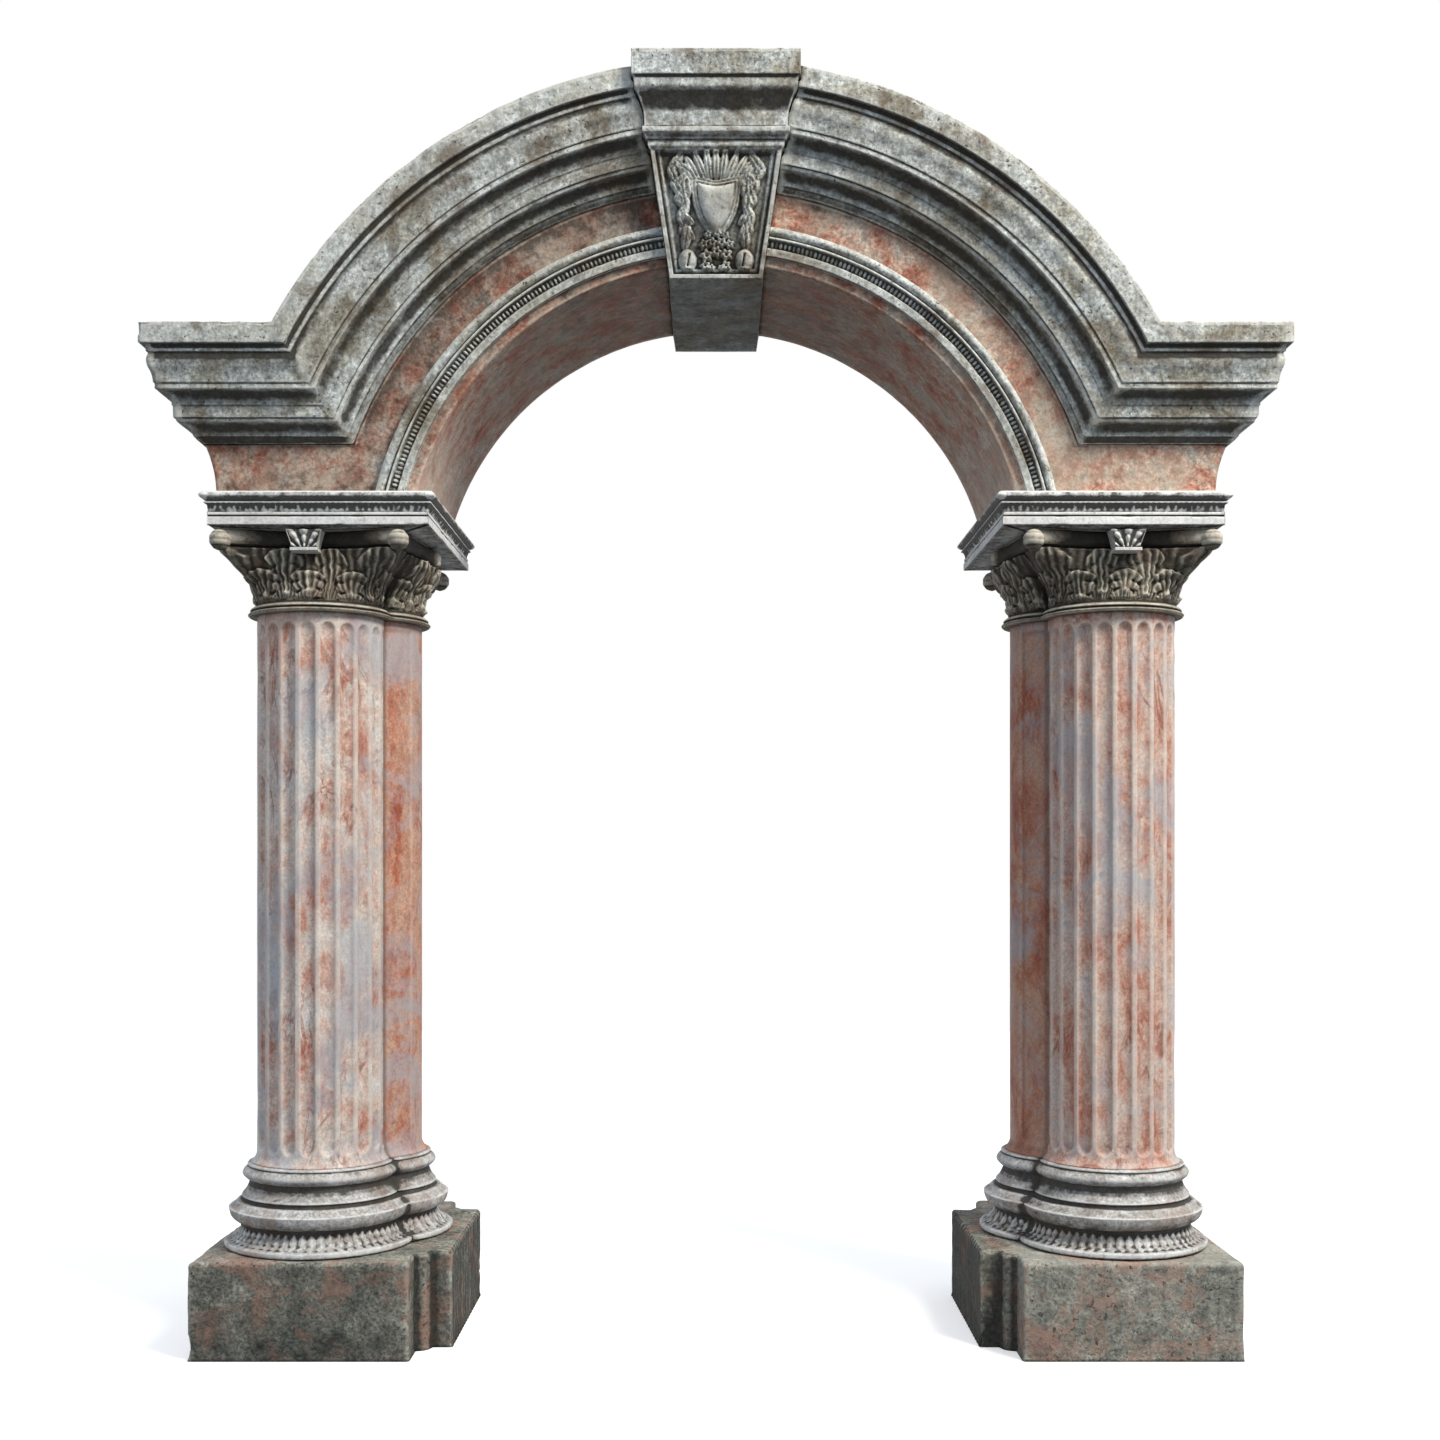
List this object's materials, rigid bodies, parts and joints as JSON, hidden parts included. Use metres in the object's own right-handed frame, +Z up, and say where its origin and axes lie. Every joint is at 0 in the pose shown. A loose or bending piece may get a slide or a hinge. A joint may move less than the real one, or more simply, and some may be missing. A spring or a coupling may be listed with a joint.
{
  "type": "stone arch",
  "caption": "Free-standing round arch of stone: clustered fluted and plain column piers, leaf capitals, moulded arch and a carved keystone.",
  "frame": {"origin": "on the ground, below the middle of the arch in width and depth", "axes": "+Z up, +X along the width, the carved front faces -Y"},
  "size_m": [3.1704, 0.9982, 3.5936],
  "materials": {
    "plinth_stone": "dark weathered limestone",
    "base_stone": "pale worn limestone",
    "pink_marble": "mottled pink marble, worn",
    "capital_stone": "soot-stained carved limestone",
    "impost_stone": "near-white limestone",
    "grey_stone": "pale grey limestone with grime in the hollows"
  },
  "bodies": {
    "root": {"plinth_left": "plinth_stone", "plinth_right": "plinth_stone", "base_left": "base_stone", "base_right": "base_stone", "shaft_left": "pink_marble", "shaft_right": "pink_marble", "capital_left": "capital_stone", "capital_right": "capital_stone", "impost_left": "impost_stone", "impost_right": "impost_stone", "arch_left": "pink_marble", "arch_right": "pink_marble", "archivolt_front_left": "grey_stone", "archivolt_front_right": "grey_stone", "archivolt_back_left": "grey_stone", "archivolt_back_right": "grey_stone", "cornice_left": "grey_stone", "cornice_right": "grey_stone", "keystone": "grey_stone"}
  },
  "joints": []
}
